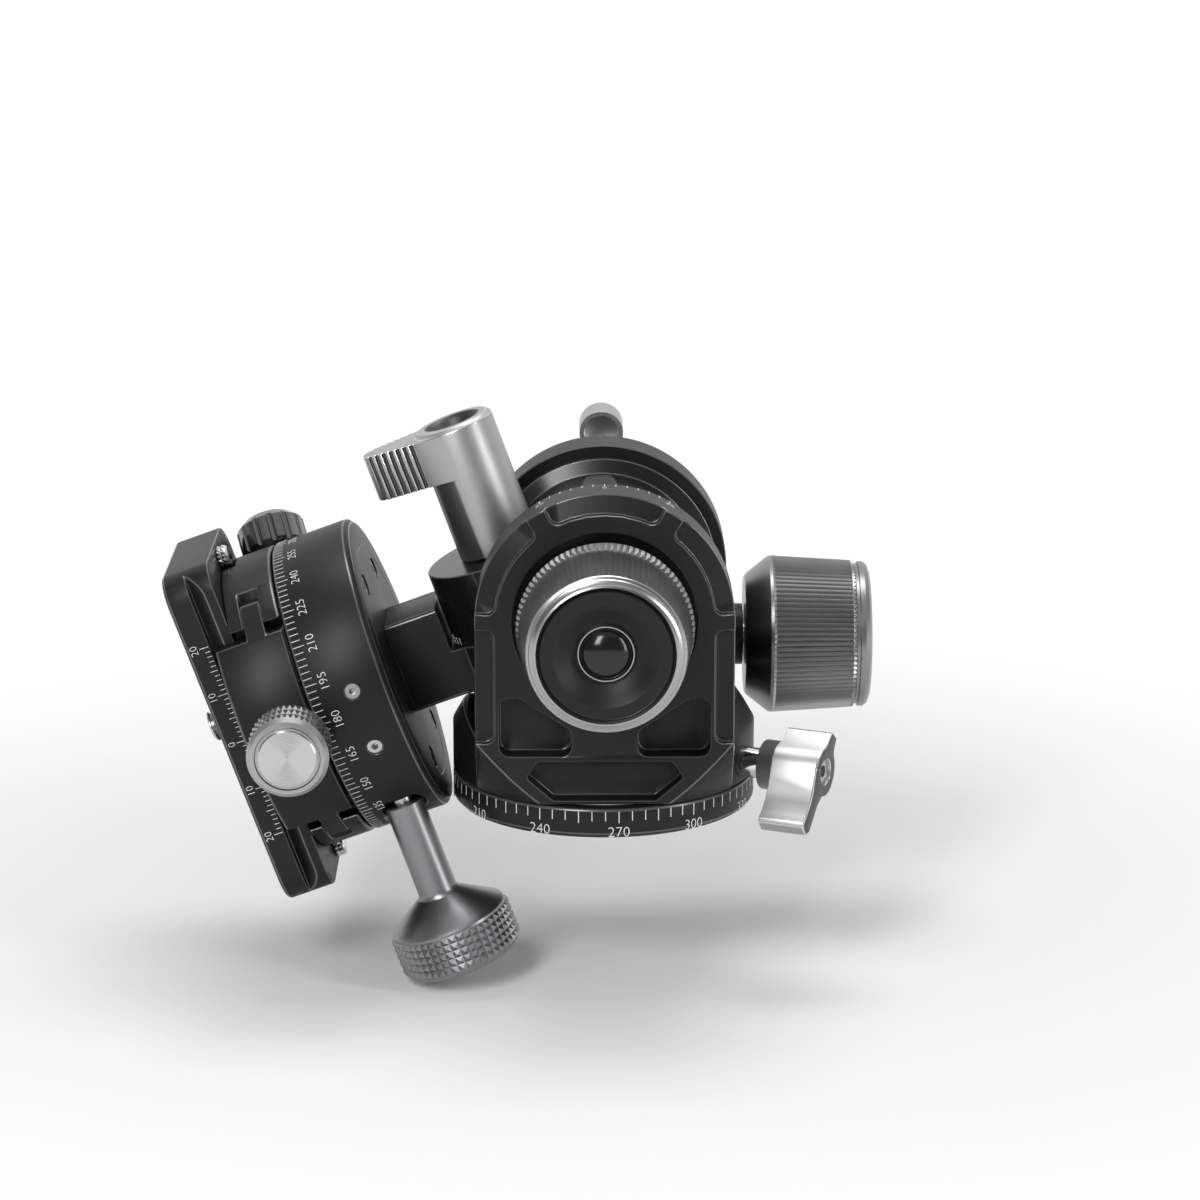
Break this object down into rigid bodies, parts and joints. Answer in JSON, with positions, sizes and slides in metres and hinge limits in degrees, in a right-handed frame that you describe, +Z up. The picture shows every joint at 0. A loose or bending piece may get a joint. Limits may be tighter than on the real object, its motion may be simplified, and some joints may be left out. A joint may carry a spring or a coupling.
{
  "type": "geared tripod head",
  "caption": "Tripod head: a geared tilting drum in a fork, a cross-tilting arm, a geared panning case and a dovetail clamp that holds a camera plate.",
  "frame": {"origin": "mouth of the tripod thread, in the middle of the base's underside", "axes": "+Z up along the tripod thread, +Y away from the dished lock knob along the tilt axis, +X towards the knob that drives the tilt worm"},
  "size_m": [0.1402, 0.11, 0.1109],
  "materials": {
    "black_anodised": "fine satin anodised",
    "steel": "turned",
    "slide_plastic": "smooth",
    "bronze": "machined",
    "chrome": "polished",
    "satin_aluminium": "clear anodised, turned and knurled",
    "grey_anodised": "grey anodised, straight knurled",
    "black_plastic": "semi-gloss",
    "gunmetal": "dark grey anodised",
    "dark_chrome": "polished dark plating",
    "rubber": "fine ribbed"
  },
  "bodies": {
    "base": {"base_disc": "black_anodised", "tripod_thread_insert": "steel", "pan_retainer_plate": "steel", "pan_retainer_screws": "steel", "pan_washer_lower": "slide_plastic", "pan_washer_upper": "slide_plastic"},
    "frame": {"fork_frame": "black_anodised", "front_axle_bush": "bronze", "rear_axle_bush": "bronze", "rear_gear_cover": "black_anodised", "rear_cover_screws": "steel", "worm_bearing": "black_anodised", "tilt_brake_pad": "bronze", "wing_bush": "chrome"},
    "brake_shoe": {"brake_shoe": "bronze"},
    "wing_knob": {"wing_knob": "satin_aluminium", "wing_screw": "steel"},
    "tilt_drum": {"tilt_drum": "black_anodised", "front_axle": "steel", "rear_axle": "steel", "tilt_worm_wheel": "bronze", "hub_pin": "steel", "lock_thrust_washer": "bronze"},
    "gear_knob": {"tilt_worm": "steel", "gear_knob_grip": "grey_anodised", "gear_knob_cap": "black_plastic", "gear_knob_button": "black_plastic"},
    "lock_knob": {"lock_knob_grip": "grey_anodised", "lock_knob_cap": "black_plastic", "lock_knob_button": "black_plastic"},
    "rear_lever": {"rear_lever": "satin_aluminium"},
    "arm": {"arm_block": "black_anodised", "arm_bush": "bronze", "arm_screws": "steel", "pan_case": "black_anodised", "pan_case_floor": "black_anodised", "pan_case_screws": "steel", "pan_set_screws": "steel", "spindle_bush": "bronze", "pan_worm_bush": "bronze", "pan_slide_ring": "slide_plastic"},
    "hub_lever": {"hub_lever": "satin_aluminium", "hub_lever_screw": "steel"},
    "pan_wheel": {"pan_worm_wheel": "bronze", "pan_spindle": "steel", "clamp_bolt": "steel"},
    "pan_worm": {"pan_worm": "steel", "pan_stem_knob": "gunmetal"},
    "clamp": {"clamp_body": "black_anodised", "jaw_guide_pins": "steel", "jaw_springs": "steel"},
    "pan_lock_shoe": {"pan_lock_shoe": "bronze"},
    "pan_lock_knob": {"pan_lock_knob": "dark_chrome"},
    "jaw": {"clamp_jaw": "black_anodised"},
    "jaw_knob": {"jaw_knob": "gunmetal", "jaw_knob_disc": "satin_aluminium"},
    "plate": {"camera_plate": "black_anodised", "plate_pad": "rubber", "plate_stop_screws": "chrome"},
    "camera_screw": {"camera_screw": "steel"}
  },
  "joints": [
    {"name": "base_pan", "type": "hinge", "parent": "base", "child": "frame", "pos_m": [0, 0, 0], "axis": [0, 0, 1], "continuous": true},
    {"name": "brake_shoe_slide", "type": "slide", "parent": "frame", "child": "brake_shoe", "axis": [0.9063, -0.4226, 0], "range_m": [0, 0.0008]},
    {"name": "wing_turn", "type": "hinge", "parent": "brake_shoe", "child": "wing_knob", "pos_m": [0, 0, 0.0105], "axis": [0.9063, -0.4226, 0], "range_deg": [0, 360]},
    {"name": "tilt", "type": "hinge", "parent": "frame", "child": "tilt_drum", "pos_m": [0, 0, 0.0425], "axis": [0, 1, 0], "range_deg": [0, 160]},
    {"name": "gear_knob_turn", "type": "hinge", "parent": "frame", "child": "gear_knob", "pos_m": [0, 0.0245, 0.0265], "axis": [1, 0, 0], "range_deg": [0, 5120]},
    {"name": "lock_knob_turn", "type": "hinge", "parent": "tilt_drum", "child": "lock_knob", "pos_m": [0, 0, 0.0425], "axis": [0, -1, 0], "range_deg": [-360, 0]},
    {"name": "rear_lever_turn", "type": "hinge", "parent": "frame", "child": "rear_lever", "pos_m": [0, 0, 0.0425], "axis": [0, 1, 0], "range_deg": [0, 60]},
    {"name": "cross_tilt", "type": "hinge", "parent": "tilt_drum", "child": "arm", "pos_m": [-0.01541, 0, 0.03689], "axis": [-0.342, 0, 0.9397], "range_deg": [-15, 15]},
    {"name": "hub_lever_turn", "type": "hinge", "parent": "tilt_drum", "child": "hub_lever", "pos_m": [-0.01541, 0, 0.03689], "axis": [-0.342, 0, 0.9397], "range_deg": [0, 60]},
    {"name": "pan_gear", "type": "hinge", "parent": "arm", "child": "pan_wheel", "pos_m": [0, 0, 0.0425], "axis": [-0.9397, 0, -0.342], "continuous": true},
    {"name": "pan_worm_turn", "type": "hinge", "parent": "arm", "child": "pan_worm", "pos_m": [-0.04717, -0.018, 0.02533], "axis": [-0.342, 0, 0.9397], "continuous": true},
    {"name": "pan_free", "type": "hinge", "parent": "pan_wheel", "child": "clamp", "pos_m": [0, 0, 0.0425], "axis": [-0.9397, 0, -0.342], "continuous": true},
    {"name": "pan_lock_slide", "type": "slide", "parent": "clamp", "child": "pan_lock_shoe", "axis": [-0.2731, 0.6018, 0.7505], "range_m": [0, 0.0005]},
    {"name": "pan_lock_turn", "type": "hinge", "parent": "pan_lock_shoe", "child": "pan_lock_knob", "pos_m": [-0.05732, 0, 0.02164], "axis": [-0.2731, 0.6018, 0.7505], "range_deg": [0, 360]},
    {"name": "jaw_slide", "type": "slide", "parent": "clamp", "child": "jaw", "axis": [0, -1, 0], "range_m": [0, 0.0024]},
    {"name": "jaw_knob_turn", "type": "hinge", "parent": "jaw", "child": "jaw_knob", "pos_m": [-0.05995, 0, 0.02068], "axis": [0, -1, 0], "range_deg": [0, 1080]},
    {"name": "plate_slide", "type": "slide", "parent": "clamp", "child": "plate", "axis": [-0.342, 0, 0.9397], "range_m": [-0.0025, 0.0025]},
    {"name": "camera_screw_turn", "type": "hinge", "parent": "plate", "child": "camera_screw", "pos_m": [0, 0, 0.0425], "axis": [-0.9397, 0, -0.342], "continuous": true}
  ],
  "couplings": [
    {"joint": "gear_knob_turn", "follows": "tilt", "ratio": 32},
    {"joint": "pan_worm_turn", "follows": "pan_gear", "ratio": -40},
    {"joint": "wing_turn", "follows": "brake_shoe_slide", "rad_per_m": 7854},
    {"joint": "pan_lock_turn", "follows": "pan_lock_slide", "rad_per_m": 12566},
    {"joint": "jaw_knob_turn", "follows": "jaw_slide", "rad_per_m": 7854}
  ]
}
